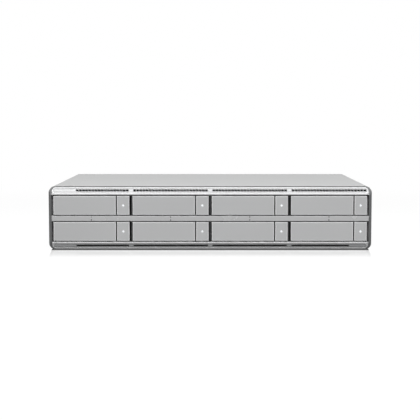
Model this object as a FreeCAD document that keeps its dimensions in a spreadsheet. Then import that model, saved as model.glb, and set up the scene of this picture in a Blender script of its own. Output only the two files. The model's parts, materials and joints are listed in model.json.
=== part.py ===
"""Two-unit rack video recorder with eight swap-out drive trays.

The model stands with +Z up and its front towards -Y.  Pieces are drawn with the
front plane at y = 0 and then moved back by half the depth, so that the origin is
under the middle of the case.  Tray pieces are drawn once, from the lower left
corner of a tray's face, and copied into the bays.
"""
import FreeCAD, Part
import Sketcher
import math
import os
import re

COLUMNS = 4
ROWS = 2
BLADES = 7
FINS = 9
GRILLE_SLOTS = 7
PIN_SIDES = 8
HUB_SIDES = 4 * BLADES
BOSS_SIDES = 16

# Driving sizes, in millimetres and, for the pitch of the blades, degrees: name, value.
SIZES = (
    # drive
    ("drive_width", 101.6),
    ("drive_height", 26.1),
    ("drive_length", 147.0),
    ("drive_side_gap", 0.15),
    ("drive_front_gap", 0.4),
    ("lid_inset", 2.5),
    ("lid_rise", 3.0),
    ("spindle_radius", 38.0),
    ("spindle_rise", 0.8),
    ("plug_width", 42.0),
    ("plug_height", 7.0),
    ("plug_in", 22.0),
    ("plug_recess", 4.0),
    ("plug_play", 1.0),
    ("tongue_inset", 2.0),
    # tray
    ("sled_wall", 1.2),
    ("sled_floor", 0.8),
    ("sled_side", 21.0),
    ("sled_margin", 14.0),
    ("sled_web", 6.0),
    ("runner_proud", 0.9),
    ("runner_height", 5.0),
    ("runner_up", 8.0),
    ("runner_clearance", 0.3),
    ("bulkhead_wall", 1.2),
    ("face_gap", 1.3),
    ("face_bevel", 0.4),
    ("button_width", 17.25),
    ("button_travel", 2.0),
    ("lever_gap", 1.4),
    ("lever_plate", 2.0),
    ("lever_depth", 9.0),
    ("lever_tail_depth", 4.0),
    ("lever_rib", 1.2),
    ("lever_rib_depth", 5.0),
    ("flange_wall", 1.4),
    ("knuckle_radius", 5.0),
    ("hinge_in", 10.0),
    ("hinge_back", 5.5),
    ("pivot_radius", 1.5),
    ("pivot_clearance", 0.06),
    ("ear_radius", 2.8),
    ("ear_wall", 2.4),
    ("ear_gap", 0.3),
    ("catch_length", 2.5),
    ("catch_width", 4.0),
    ("catch_height", 6.0),
    ("cap_wall", 1.4),
    ("latch_room", 5.0),
    ("guide_gap", 0.3),
    ("pipe_radius", 1.0),
    ("pipe_clearance", 0.15),
    ("pipe_fit", 0.03),
    # front
    ("end_gap", 2.425),
    ("rim_side", 4.25),
    ("rim_lip", 1.3),
    ("rim_depth", 12.0),
    ("corner_radius", 9.5),
    ("inner_corner", 5.8),
    ("rim_proud_side", 1.3),
    ("rim_proud_top", 1.5),
    ("slope_depth", 4.0),
    ("side_slope", 2.6),
    ("side_slope_depth", 3.0),
    ("post_wall", 1.1),
    ("post_back", 8.0),
    ("window_clearance", 0.85),
    ("lower_strip", 11.07),
    ("rail_height", 7.2),
    ("upper_strip_least", 11.93),
    # vents in the sloping strips
    ("band_length", 429.2),
    ("band_end_gap", 2.8),
    ("band_height", 4.4),
    ("band_corner", 2.1),
    ("band_wall", 1.6),
    ("band_recess", 0.4),
    ("band_groove", 0.3),
    ("upper_band_rise", 6.68),
    ("lower_band_drop", 5.77),
    ("slot_pitch", 4.28),
    ("slot_width", 3.4),
    ("slot_height", 2.5),
    ("long_slot_length", 102.0),
    ("long_slot_height", 2.0),
    ("left_bare_length", 30.0),
    ("right_bare_length", 23.0),
    ("air_slot_height", 3.2),
    # case
    ("shell_wall", 1.2),
    ("bend_radius", 3.0),
    ("cover_skirt", 12.0),
    ("seam_gap", 0.2),
    ("fit_gap", 0.1),
    ("rear_wall", 1.2),
    ("rear_inset", 2.0),
    ("rear_bay", 152.3),
    ("ear_hole_radius", 2.0),
    ("ear_hole_front", 32.0),
    ("ear_hole_low", 20.0),
    ("ear_hole_rise", 40.0),
    ("ear_nut_radius", 4.0),
    ("ear_nut_height", 0.9),
    # cage and backplane
    ("divider_wall", 1.85),
    ("divider_window", 40.0),
    ("divider_window_pitch", 56.0),
    ("divider_window_height", 13.0),
    ("cage_front", 14.0),
    ("shelf_wall", 1.0),
    ("shelf_clearance", 0.25),
    ("connector_gap", 0.3),
    ("connector_depth", 5.0),
    ("board_wall", 1.6),
    ("backplane_side_gap", 2.5),
    ("backplane_low", 4.0),
    ("backplane_top_gap", 3.0),
    ("air_window_width", 40.0),
    ("air_window_height", 11.0),
    # rear compartment
    ("fan_size", 80.0),
    ("fan_depth", 25.0),
    ("fan_spacing", 84.0),
    ("fan_middle", -20.0),
    ("fan_low", 2.4),
    ("fan_top_gap", 1.1),
    ("fan_wall", 1.5),
    ("fan_corner", 3.0),
    ("hub_radius", 16.5),
    ("hub_length", 17.0),
    ("hub_gap", 0.4),
    ("motor_wall", 4.0),
    ("shaft_radius", 1.5),
    ("shaft_length", 12.0),
    ("shaft_clearance", 0.06),
    ("spoke_width", 5.0),
    ("blade_gap", 1.0),
    ("blade_wall", 1.4),
    ("blade_root_chord", 19.0),
    ("blade_tip_chord", 21.0),
    ("blade_pitch", 38.0),
    ("grille_radius", 37.0),
    ("grille_slot", 6.6),
    ("grille_bar", 3.6),
    ("main_board_left", 76.0),
    ("main_board_width", 132.0),
    ("main_board_length", 130.0),
    ("standoff_height", 6.0),
    ("standoff_radius", 3.0),
    ("standoff_inset", 6.0),
    ("sink_size", 46.0),
    ("sink_base", 4.0),
    ("sink_height", 22.0),
    ("sink_fin", 1.8),
    ("sink_clearance", 6.0),
    ("jack_in", 18.0),
    ("jack_width", 16.0),
    ("jack_height", 13.5),
    ("jack_length", 21.0),
    ("jack_wall", 2.0),
    ("jack_socket_height", 8.2),
    ("jack_socket_depth", 14.0),
    ("jack_key_width", 6.0),
    ("jack_key_height", 2.2),
    ("fibre_in", 50.0),
    ("fibre_width", 14.8),
    ("fibre_height", 10.2),
    ("fibre_length", 48.0),
    ("fibre_wall", 0.6),
    ("port_proud", 0.6),
    ("supply_left", 8.0),
    ("supply_width", 92.0),
    ("supply_length", 112.0),
    ("supply_height", 42.0),
    ("supply_fillet", 2.0),
    ("inlet_in", 54.0),
    ("inlet_up", 30.0),
    ("inlet_width", 27.4),
    ("inlet_height", 19.8),
    ("inlet_depth", 20.0),
    ("inlet_wall", 1.7),
    ("inlet_socket_depth", 16.5),
    ("inlet_flange", 3.0),
    ("inlet_flange_wall", 1.5),
    ("pin_width", 2.0),
    ("pin_height", 4.0),
    ("pin_length", 10.0),
    ("pin_spread", 7.0),
    ("pin_drop", 2.0),
)

# Sizes that follow from the driving ones.
WORKED = (
    ("face_gap_across", "2 * (runner_proud + runner_clearance) + divider_wall"),
    ("drive_need", "drive_width + 2 * (drive_side_gap + sled_wall)"),
    ("bay_room", "band_length + 2 * (band_end_gap - end_gap)"),
    ("band_need", f"(bay_room - {COLUMNS - 1} * face_gap_across) / {COLUMNS}"),
    ("face_width", "max(drive_need; band_need)"),
    ("bay_pitch", "face_width + face_gap_across"),
    ("inner_rim_width", f"{COLUMNS} * face_width + {COLUMNS - 1} * face_gap_across + 2 * end_gap"),
    ("width", "inner_rim_width + 2 * rim_side"),
    ("window_height", "drive_height + sled_floor + 2 * window_clearance"),
    ("face_height", "window_height - 2 * face_gap"),
    ("row_pitch", "window_height + rail_height"),
    ("below_upper_strip", f"lower_strip + {ROWS - 1} * row_pitch + window_height"),
    ("fan_need", "fan_low + fan_size + fan_top_gap + 2 * shell_wall + rim_proud_top"),
    ("upper_strip", "max(upper_strip_least; fan_need - below_upper_strip)"),
    ("height", "below_upper_strip + upper_strip"),
    ("bulkhead_y", "lever_depth + latch_room"),
    ("drive_x", "(face_width - drive_width) / 2"),
    ("drive_y", "bulkhead_y + bulkhead_wall + drive_front_gap"),
    ("drive_end", "drive_y + drive_length"),
    ("sled_bottom", "window_clearance - face_gap"),
    ("drive_bottom", "sled_bottom + sled_floor"),
    ("lever_width", "face_width - button_width - lever_gap"),
    ("button_x", "face_width - button_width"),
    ("light_x", "face_width - button_width / 2"),
    ("backplane_y", "drive_end + connector_gap + connector_depth"),
    ("rear_y", "backplane_y + board_wall + rear_bay"),
    ("depth", "rear_y + rear_wall + rear_inset"),
    ("inner_rim_height", "height - 2 * rim_lip"),
    ("shell_width", "width - 2 * rim_proud_side"),
    ("shell_height", "height - rim_proud_top"),
    ("shell_half", "shell_width / 2 - shell_wall"),
    ("shell_roof", "shell_height - shell_wall"),
    ("seam_z", "shell_height - cover_skirt"),
    ("upper_run", "sqrt(slope_depth ^ 2 + upper_strip ^ 2)"),
    ("lower_run", "sqrt(slope_depth ^ 2 + lower_strip ^ 2)"),
    ("upper_vent_z", "height - upper_strip + upper_band_rise * upper_strip / upper_run"),
    ("lower_vent_z", "lower_strip - lower_band_drop * lower_strip / lower_run"),
    ("fan_z", "shell_wall + fan_low + fan_size / 2"),
    ("fan_bore", "fan_size / 2 - fan_wall"),
    ("main_board_z", "shell_wall + standoff_height"),
    ("main_board_y", "rear_y - fit_gap - main_board_length"),
    ("port_z", "main_board_z + board_wall"),
    ("port_y", "rear_y + rear_wall + port_proud"),
    ("jack_x", "main_board_left + main_board_width - jack_in"),
    ("fibre_x", "main_board_left + main_board_width - fibre_in"),
    ("supply_x", "supply_left - shell_half"),
    ("inlet_x", "inlet_in - shell_half"),
    ("inlet_z", "shell_wall + inlet_up"),
)

doc = FreeCAD.newDocument("video_recorder")
home = {}
sub_parts = []


def fill_sheet(name, rows):
    """A spreadsheet with one named cell per row."""
    sheet = doc.addObject("Spreadsheet::Sheet", name)
    for row, (alias, content) in enumerate(rows, start=1):
        sheet.set(f"A{row}", alias)
        sheet.set(f"B{row}", content)
        sheet.setAlias(f"B{row}", alias)
        home[alias] = name


def formula(text):
    """The expression for a formula written with plain size names."""
    def with_sheet(match):
        word = match.group()
        return f"{home[word]}.{word}" if word in home else word
    return re.sub(r"[a-z][a-z_]*", with_sheet, str(text))


def number(text):
    """The present value of a formula."""
    return float(doc.getObject("sizes").evalExpression(formula(text)))


def bind(item, **formulas):
    """Tie properties of a document object to formulas."""
    for prop, text in formulas.items():
        item.setExpression(prop, formula(text))
    return item


def place(item, at, turn=None):
    """Tie an object's place to formulas, after a turn that stays as set."""
    if turn:
        item.Placement.Rotation = turn
    for axis, text in zip("xyz", at):
        item.setExpression(f"Placement.Base.{axis}", formula(text))
    return item


def about(x, y, z, angle):
    return FreeCAD.Rotation(FreeCAD.Vector(x, y, z), angle)


TOWARDS = {"x": about(0, 1, 0, 90), "y": about(1, 0, 0, -90), "z": about(0, 0, 1, 0)}


def box(name, spans, at):
    item = doc.addObject("Part::Box", name)
    bind(item, Length=spans[0], Width=spans[1], Height=spans[2])
    return place(item, at)


def rod(name, radius, length, at, axis="z"):
    item = doc.addObject("Part::Cylinder", name)
    bind(item, Radius=radius, Height=length)
    return place(item, at, TOWARDS[axis])


def prism(name, sides, radius, length, at, axis="z"):
    """A many-sided rod, for round pieces that repeat."""
    item = doc.addObject("Part::Prism", name)
    item.Polygon = sides
    bind(item, Circumradius=radius, Height=length)
    return place(item, at, TOWARDS[axis])


def clear_bore(name, radius, length, at, axis="z"):
    """A many-sided bore in which a rod of the given radius can turn."""
    return prism(name, PIN_SIDES, f"({radius}) / cos({180 / PIN_SIDES})", length, at, axis)


def wedge(name, front, back, x_span, y_span):
    """A prism along X whose height runs from front[0:2] to back[0:2] between the two y values."""
    item = doc.addObject("Part::Wedge", name)
    for end in ("X", "X2"):
        bind(item, **{f"{end}min": x_span[0], f"{end}max": x_span[1]})
    bind(item, Ymin=y_span[0], Ymax=y_span[1])
    bind(item, Zmin=front[0], Zmax=front[1], Z2min=back[0], Z2max=back[1])
    return item


def bevelled_plate(name, spans, at):
    """An upright plate whose front edges are bevelled."""
    item = doc.addObject("Part::Wedge", name)
    wide, deep, tall = spans
    bind(item, Ymin="0", Ymax="face_bevel")
    bind(item, Xmin="face_bevel", Xmax=f"{wide} - face_bevel", X2min="0", X2max=wide)
    bind(item, Zmin="face_bevel", Zmax=f"{tall} - face_bevel", Z2min="0", Z2max=tall)
    place(item, at)
    rest = box(f"{name}_rest", (wide, f"{deep} - face_bevel", tall),
               (at[0], f"{at[1]} + face_bevel", at[2]))
    return fuse(f"{name}_whole", item, rest)


def fuse(name, *shapes):
    item = doc.addObject("Part::MultiFuse", name)
    item.Shapes = list(shapes)
    return item


def group(name, *shapes):
    item = doc.addObject("Part::Compound", name)
    item.Links = list(shapes)
    return item


def common(name, *shapes):
    item = doc.addObject("Part::MultiCommon", name)
    item.Shapes = list(shapes)
    return item


def cut(name, base, *tools):
    item = doc.addObject("Part::Cut", name)
    item.Base = base
    item.Tool = tools[0] if len(tools) == 1 else fuse(f"{name}_tools", *tools)
    return item


def copy(name, source, at, turn=None):
    return place(group(name, source), at, turn)


def finish(item, label, at=("0", "0", "0")):
    """Name a piece, put it at its place behind the front plane and keep it for export."""
    item.Label = label
    sub_parts.append(place(item, (at[0], f"{at[1]} - depth / 2", at[2])))


def origin_feature(body, role):
    """One of the body's own origin planes or axes."""
    return next(item for item in body.Origin.OriginFeatures if item.Role == role)


def new_sketch(body, plane_role, name):
    """A sketch on one of the body's own origin planes."""
    sketch = body.newObject("Sketcher::SketchObject", name)
    sketch.AttachmentSupport = (origin_feature(body, plane_role), [""])
    sketch.MapMode = "FlatFace"
    return sketch


def outline(sketch, wide, tall, radius):
    """A rounded rectangle that stands on the sketch's x axis, centred on its y axis."""
    half, top, bend = number(f"({wide}) / 2"), number(tall), number(radius)
    vector = FreeCAD.Vector
    quarter = math.pi / 2
    corners = ((half - bend, bend), (half - bend, top - bend),
               (bend - half, top - bend), (bend - half, bend))
    sides = (((bend - half, 0), (half - bend, 0)), ((half, bend), (half, top - bend)),
             ((half - bend, top), (bend - half, top)), ((-half, top - bend), (-half, bend)))
    for turn, (side, corner) in enumerate(zip(sides, corners), start=-1):
        sketch.addGeometry(Part.LineSegment(vector(*side[0]), vector(*side[1])))
        arc = Part.Circle(vector(*corner), vector(0, 0, 1), bend)
        sketch.addGeometry(Part.ArcOfCircle(arc, turn * quarter, (turn + 1) * quarter))
    link = Sketcher.Constraint
    for edge in range(8):
        sketch.addConstraint(link("Tangent", edge, 2, (edge + 1) % 8, 1))
    for edge in (3, 5, 7):
        sketch.addConstraint(link("Equal", 1, edge))
    sketch.addConstraint(link("Symmetric", 0, 1, 0, 2, -2))
    sketch.addConstraint(link("PointOnObject", 0, 1, -1))
    sketch.addConstraint(link("Vertical", 2))
    sketch.addConstraint(link("Horizontal", 4))
    sketch.addConstraint(link("Vertical", 6))
    named = (("wide", link("DistanceX", 6, 1, 2, 1, 2 * half), wide),
             ("tall", link("DistanceY", 0, 1, 4, 1, top), tall),
             ("bend", link("Radius", 1, bend), radius))
    for title, constraint, text in named:
        sketch.renameConstraint(sketch.addConstraint(constraint), title)
        sketch.setExpression(f"Constraints.{title}", formula(text))


def rounded_block(name, wide, tall, radius, deep, at):
    """A block along Y with rounded long edges, standing on `at`."""
    body = doc.addObject("PartDesign::Body", name)
    sketch = new_sketch(body, "XZ_Plane", f"{name}_outline")
    outline(sketch, wide, tall, radius)
    pad = body.newObject("PartDesign::Pad", f"{name}_pad")
    pad.Profile = sketch
    pad.Reversed = True
    bind(pad, Length=deep)
    return place(body, at)


def fill_sheets():
    fill_sheet("sizes", [(alias, str(value)) for alias, value in SIZES])
    home.update((alias, "worked") for alias, text in WORKED)
    fill_sheet("worked", [(alias, f"={formula(text)}") for alias, text in WORKED])


def column_x(column):
    """The middle of a column of bays."""
    return f"{column - (COLUMNS - 1) / 2} * bay_pitch"


def row_z(row):
    """The lower edge of a row's tray faces, row 0 at the bottom."""
    return f"lower_strip + face_gap + {row} * row_pitch"


def slope_tools():
    """Prisms that slope the front back above the upper bays and below the lower ones."""
    across = ("-width", "width")
    back = ("0", "slope_depth")
    upper = wedge("upper_slope_tool", ("height - upper_strip", "2 * height"),
                  ("height", "2 * height"), across, back)
    lower = wedge("lower_slope_tool", ("-height", "lower_strip"), ("-height", "0"), across, back)
    return upper, lower


def side_slope_tools():
    """Prisms that slope the front back at its two ends."""
    right = doc.addObject("Part::Wedge", "right_slope_tool")
    bind(right, Xmin="width / 2 - side_slope", Xmax="width", X2min="width / 2", X2max="width")
    left = doc.addObject("Part::Wedge", "left_slope_tool")
    bind(left, Xmin="-width", Xmax="side_slope - width / 2", X2min="-width", X2max="-width / 2")
    for tool in (right, left):
        bind(tool, Ymin="0", Ymax="side_slope_depth")
        bind(tool, Zmin="-height", Zmax="2 * height", Z2min="-height", Z2max="2 * height")
    return right, left


def on_slope(item, strip, sign, start, inward, up):
    """Put an item on a sloping strip, `inward` from its surface and `up` along it."""
    run = f"sqrt(slope_depth ^ 2 + {strip} ^ 2)"
    angle = sign * math.degrees(math.atan2(number("slope_depth"), number(strip)))
    y = f"(({inward}) * {strip} - {sign} * ({up}) * slope_depth) / {run}"
    z = f"{start} + ({sign} * ({inward}) * slope_depth + ({up}) * {strip}) / {run}"
    return place(item, ("0", y, z), about(1, 0, 0, angle))


def on_upper_slope(item, inward, margin="0"):
    up = f"upper_band_rise - band_height / 2 - {margin}"
    return on_slope(item, "upper_strip", -1, "height - upper_strip", inward, up)


def on_lower_slope(item, inward, margin="0"):
    up = f"-lower_band_drop - band_height / 2 - {margin}"
    return on_slope(item, "lower_strip", 1, "lower_strip", inward, up)


def front_rim(slopes):
    outer = rounded_block("rim_outer", "width", "height", "corner_radius", "rim_depth",
                          ("0", "0", "0"))
    inner = rounded_block("rim_inner", "inner_rim_width", "inner_rim_height", "inner_corner",
                          "rim_depth", ("0", "0", "rim_lip"))
    ring = cut("rim_ring", outer, inner)
    finish(cut("rim", ring, *slopes, *side_slope_tools()), "front_rim")


def band_channel(name):
    """The recess that takes a vent band, with a shadow groove below it."""
    return rounded_block(name, "band_length + 2 * fit_gap", "band_height + fit_gap + band_groove",
                         "band_corner + fit_gap", "band_recess + band_wall + fit_gap",
                         ("0", "0", "0"))


def front_fascia(slopes):
    left = "-inner_rim_width / 2"
    wide = "inner_rim_width"
    upper = box("upper_bar", (wide, "rim_depth", "upper_strip - rim_lip"),
                (left, "0", "height - upper_strip"))
    rail = box("rail_bar", (wide, "rim_depth", "rail_height"),
               (left, "0", "lower_strip + window_height"))
    lower = box("lower_bar", (wide, "rim_depth", "lower_strip - rim_lip"), (left, "0", "rim_lip"))
    posts = []
    for side, x in (("left", left), ("right", "inner_rim_width / 2 - post_wall - fit_gap")):
        posts.append(box(f"{side}_post",
                         ("post_wall + fit_gap", "rim_depth - post_back", "inner_rim_height"),
                         (x, "post_back", "rim_lip")))
    bars = fuse("fascia_bars", upper, rail, lower, *posts)
    blank = rounded_block("fascia_blank", "inner_rim_width - 2 * fit_gap",
                          "inner_rim_height - 2 * fit_gap", "inner_corner - fit_gap",
                          "rim_depth", ("0", "0", "rim_lip + fit_gap"))
    trimmed = common("fascia_trimmed", bars, blank)
    tools = [on_upper_slope(band_channel("upper_channel"), "0", "band_groove"),
             on_lower_slope(band_channel("lower_channel"), "0", "band_groove")]
    for column in range(COLUMNS):
        for level in ("upper", "lower"):
            tools.append(box(f"{level}_air_slot_{column}",
                             ("long_slot_length", "2 * rim_depth", "air_slot_height"),
                             (f"{column_x(column)} - long_slot_length / 2", "0",
                              f"{level}_vent_z - air_slot_height / 2")))
    finish(cut("fascia", trimmed, *slopes, *tools), "front_fascia")


def slot_row(name, length):
    """A row of small vent slots along X from the origin, as a cutting tool."""
    body = doc.addObject("PartDesign::Body", name)
    body.AllowCompound = True
    slot = body.newObject("PartDesign::AdditiveBox", f"{name}_slot")
    bind(slot, Length="slot_width", Width="3 * band_wall", Height="slot_height")
    pattern = body.newObject("PartDesign::LinearPattern", f"{name}_pattern")
    pattern.Originals = [slot]
    pattern.Direction = (origin_feature(body, "X_Axis"), [""])
    pattern.Occurrences = int(number(f"({length} - slot_width) / slot_pitch")) + 1
    bind(pattern, Length=f"{pattern.Occurrences - 1} * slot_pitch")
    body.Tip = pattern
    return body


def band(name):
    return rounded_block(name, "band_length", "band_height", "band_corner", "band_wall",
                         ("0", "0", "0"))


def upper_vent_band():
    full = slot_row("full_slot_row", "long_slot_length")
    short = slot_row("short_slot_row", "long_slot_length - left_bare_length")
    up = "(band_height - slot_height) / 2"
    tools = []
    for column in range(COLUMNS):
        row, bare = (full, "0") if column else (short, "left_bare_length")
        start = f"{column_x(column)} - long_slot_length / 2 + {bare}"
        tools.append(copy(f"slots_{column}", row, (start, "-band_wall", up)))
    strip = cut("upper_band_cut", band("upper_band"), *tools)
    finish(group("upper_band_set", on_upper_slope(strip, "band_recess")), "upper_vent_band")


def lower_vent_band():
    up = "(band_height - long_slot_height) / 2"
    tools = []
    for column in range(COLUMNS):
        left = "left_bare_length" if column == 0 else "0"
        right = "right_bare_length" if column == COLUMNS - 1 else "0"
        tools.append(box(f"long_slot_{column}",
                         (f"long_slot_length - {left} - {right}", "3 * band_wall", "long_slot_height"),
                         (f"{column_x(column)} - long_slot_length / 2 + {left}", "-band_wall", up)))
    strip = cut("lower_band_cut", band("lower_band"), *tools)
    finish(group("lower_band_set", on_lower_slope(strip, "band_recess")), "lower_vent_band")


def case_shell():
    """The bent sheet of the case, before it is parted into base and cover."""
    run = "depth - rim_depth"
    outer = rounded_block("shell_outer", "shell_width", "shell_height", "bend_radius", run,
                          ("0", "rim_depth", "0"))
    inner = rounded_block("shell_inner", "2 * shell_half", "shell_roof - shell_wall",
                          "bend_radius - shell_wall", run, ("0", "rim_depth", "shell_wall"))
    return cut("shell", outer, inner)


def top_cover(shell):
    space = box("cover_space", ("2 * width", "2 * depth", "height"),
                ("-width", "-depth / 2", "seam_z"))
    finish(common("cover", shell, space), "top_cover")


def chassis_base(shell):
    space = box("base_space", ("2 * width", "2 * depth", "height + seam_z - seam_gap"),
                ("-width", "-depth / 2", "-height"))
    solids = [common("base_sheet", shell, space)]
    holes = []
    for level in range(2):
        z = f"ear_hole_low + {level} * ear_hole_rise"
        for side, nut_x, x in (("left", "-shell_half - shell_wall / 2", "-shell_half"),
                               ("right", "shell_half - ear_nut_height", "shell_half")):
            solids.append(prism(f"{side}_nut_{level}", 6, "ear_nut_radius",
                                "shell_wall / 2 + ear_nut_height", (nut_x, "ear_hole_front", z), "x"))
            reach = "4 * (shell_wall + ear_nut_height)"
            holes.append(rod(f"{side}_hole_{level}", "ear_hole_radius", reach,
                             (f"{x} - {reach} / 2", "ear_hole_front", z), "x"))
    for end in range(2):
        for side in range(2):
            x = f"main_board_left + standoff_inset + {side} * (main_board_width - 2 * standoff_inset)"
            y = f"main_board_y + standoff_inset + {end} * (main_board_length - 2 * standoff_inset)"
            solids.append(prism(f"standoff_{end}_{side}", 6, "standoff_radius",
                                "standoff_height + shell_wall / 2", (x, y, "shell_wall / 2")))
    finish(cut("base", fuse("base_solid", *solids), *holes), "chassis_base")


def fan_place(side):
    """The middle of a fan's front face, side -1 or 1."""
    return (f"fan_middle + {side} * fan_spacing / 2", "rear_y - fan_depth", "fan_z")


def grille_tool():
    """A round field of level slots, each parted by an upright bar."""
    slots = []
    for line in range(GRILLE_SLOTS):
        rise = f"{line - (GRILLE_SLOTS - 1) / 2} * (grille_slot + grille_bar)"
        reach = f"sqrt(grille_radius ^ 2 - (abs({rise}) + grille_slot / 2) ^ 2)"
        slots.append(box(f"grille_slot_{line}", (f"2 * {reach}", "4 * rear_wall", "grille_slot"),
                         (f"-{reach}", "-2 * rear_wall", f"{rise} - grille_slot / 2")))
    upright = box("grille_upright", ("grille_bar", "6 * rear_wall", "2 * fan_size"),
                  ("-grille_bar / 2", "-3 * rear_wall", "-fan_size"))
    return cut("grille", group("grille_slots", *slots), upright)


def panel_hole(name, x, z, wide, tall):
    """A hole through the rear panel around something wide and tall, centred on x, standing on z."""
    return box(name, (f"{wide} + 2 * fit_gap", "4 * rear_wall", f"{tall} + 2 * fit_gap"),
               (f"{x} - {wide} / 2 - fit_gap", "rear_y - rear_wall", f"{z} - fit_gap"))


def rear_panel():
    plate = rounded_block("rear_plate", "2 * (shell_half - fit_gap)",
                          "shell_roof - shell_wall - 2 * fit_gap",
                          "bend_radius - shell_wall - fit_gap", "rear_wall",
                          ("0", "rear_y", "shell_wall + fit_gap"))
    grille = grille_tool()
    holes = [copy(f"grille_{side + 1}", grille, (fan_place(side)[0], "rear_y", "fan_z"))
             for side in (-1, 1)]
    holes.append(panel_hole("inlet_hole", "inlet_x", "inlet_z - inlet_height / 2",
                            "inlet_width", "inlet_height"))
    holes.append(panel_hole("jack_hole", "jack_x", "port_z", "jack_width", "jack_height"))
    holes.append(panel_hole("fibre_hole", "fibre_x", "port_z", "fibre_width", "fibre_height"))
    finish(cut("rear", plate, *holes), "rear_panel")


def cage_dividers():
    plate = box("divider_plate",
                ("divider_wall", "backplane_y - fit_gap - cage_front",
                 "shell_roof - shell_wall - 2 * fit_gap"),
                ("-divider_wall / 2", "cage_front", "shell_wall + fit_gap"))
    middle = "(cage_front + backplane_y - divider_window) / 2"
    windows = []
    for row in range(ROWS):
        for side in (-1, 1):
            windows.append(box(f"divider_window_{row}_{side + 1}",
                               ("2 * divider_wall", "divider_window", "divider_window_height"),
                               ("-divider_wall", f"{middle} + {side} * divider_window_pitch / 2",
                                f"{row_z(row)} + runner_up + runner_height + runner_clearance")))
    divider = cut("divider", plate, *windows)
    dividers = [copy(f"divider_{line}", divider, (f"{line - COLUMNS / 2} * bay_pitch", "0", "0"))
                for line in range(COLUMNS + 1)]
    finish(group("dividers", *dividers), "cage_dividers")


def bay_shelves():
    wide = "(bay_pitch - divider_wall)"
    shelf = box("shelf", (wide, "drive_end - plug_recess - cage_front", "shelf_wall"),
                (f"-{wide} / 2", "cage_front", "0"))
    shelves = []
    for row in range(ROWS):
        for column in range(COLUMNS):
            z = f"{row_z(row)} + sled_bottom - shelf_clearance - shelf_wall"
            shelves.append(copy(f"shelf_{row}_{column}", shelf, (column_x(column), "0", z)))
    finish(group("shelves", *shelves), "bay_shelves")


def backplane():
    wide = "2 * (shell_half - backplane_side_gap)"
    board = box("backplane_blank", (wide, "board_wall", "shell_roof - backplane_top_gap - backplane_low"),
                (f"-({wide}) / 2", "backplane_y", "backplane_low"))
    windows = []
    for row in range(ROWS):
        for column in range(COLUMNS):
            z = f"{row_z(row)} + drive_bottom + drive_height - air_window_height"
            windows.append(box(f"air_window_{row}_{column}",
                               ("air_window_width", "4 * board_wall", "air_window_height"),
                               (f"{column_x(column)} - air_window_width / 2",
                                "backplane_y - board_wall", z)))
    finish(cut("backplane", board, *windows), "backplane_board")


def drive_connectors():
    """The sockets on the backplane, each with a tongue in its drive's plug recess."""
    block = box("connector_block", ("plug_width", "connector_depth", "plug_height"),
                ("drive_x + plug_in", "drive_end + connector_gap", "drive_bottom + plug_height / 4"))
    tongue = box("connector_tongue",
                 ("plug_width - 2 * tongue_inset", "plug_recess", "plug_height / 4"),
                 ("drive_x + plug_in + tongue_inset", "drive_end - plug_recess + 2 * connector_gap",
                  "drive_bottom + plug_height / 2"))
    connector = fuse("connector", block, tongue)
    connectors = []
    for row in range(ROWS):
        for column in range(COLUMNS):
            connectors.append(copy(f"connector_{row}_{column}", connector,
                                   (f"{column_x(column)} - face_width / 2", "0", row_z(row))))
    finish(group("connectors", *connectors), "drive_connectors")


def main_board():
    finish(box("main_board_sheet", ("main_board_width", "main_board_length", "board_wall"),
               ("0", "0", "0")), "main_board", ("main_board_left", "main_board_y", "main_board_z"))


def heat_sink():
    block = box("sink_block", ("sink_size", "sink_size", "sink_height"), ("0", "0", "0"))
    gap = f"(sink_size - {FINS} * sink_fin) / {FINS - 1}"
    slots = [box(f"sink_slot_{slot}", (gap, "2 * sink_size", "sink_height"),
                 (f"{slot + 1} * sink_fin + {slot} * {gap}", "-sink_size / 2", "sink_base"))
             for slot in range(FINS - 1)]
    finish(cut("sink", block, *slots), "heat_sink",
           ("main_board_left + (main_board_width - sink_size) / 2",
            "port_y - fibre_length - sink_clearance - sink_size", "main_board_z + board_wall"))


def network_jack():
    block = box("jack_block", ("jack_width", "jack_length", "jack_height"),
                ("-jack_width / 2", "-jack_length", "0"))
    socket = box("jack_socket",
                 ("jack_width - 2 * jack_wall", "2 * jack_socket_depth", "jack_socket_height"),
                 ("jack_wall - jack_width / 2", "-jack_socket_depth",
                  "jack_height - jack_wall - jack_socket_height + jack_wall / 2"))
    key = box("jack_key",
              ("jack_key_width", "2 * jack_socket_depth", "jack_key_height + jack_wall"),
              ("-jack_key_width / 2", "-jack_socket_depth",
               "jack_height - jack_wall / 2 - jack_socket_height - jack_key_height"))
    finish(cut("jack", block, socket, key), "network_jack", ("jack_x", "port_y", "port_z"))


def fibre_cage():
    block = box("fibre_block", ("fibre_width", "fibre_length", "fibre_height"),
                ("-fibre_width / 2", "-fibre_length", "0"))
    slot = box("fibre_slot",
               ("fibre_width - 2 * fibre_wall", "fibre_length", "fibre_height - 2 * fibre_wall"),
               ("fibre_wall - fibre_width / 2", "fibre_wall - fibre_length", "fibre_wall"))
    finish(cut("fibre", block, slot), "fibre_cage", ("fibre_x", "port_y", "port_z"))


def power_supply():
    case = rounded_block("supply_case", "supply_width", "supply_height", "supply_fillet",
                         "supply_length", ("0", "0", "0"))
    finish(group("supply", case), "power_supply",
           ("supply_x + supply_width / 2",
            "rear_y + rear_wall - inlet_depth - fit_gap - supply_length", "shell_wall"))


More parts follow.
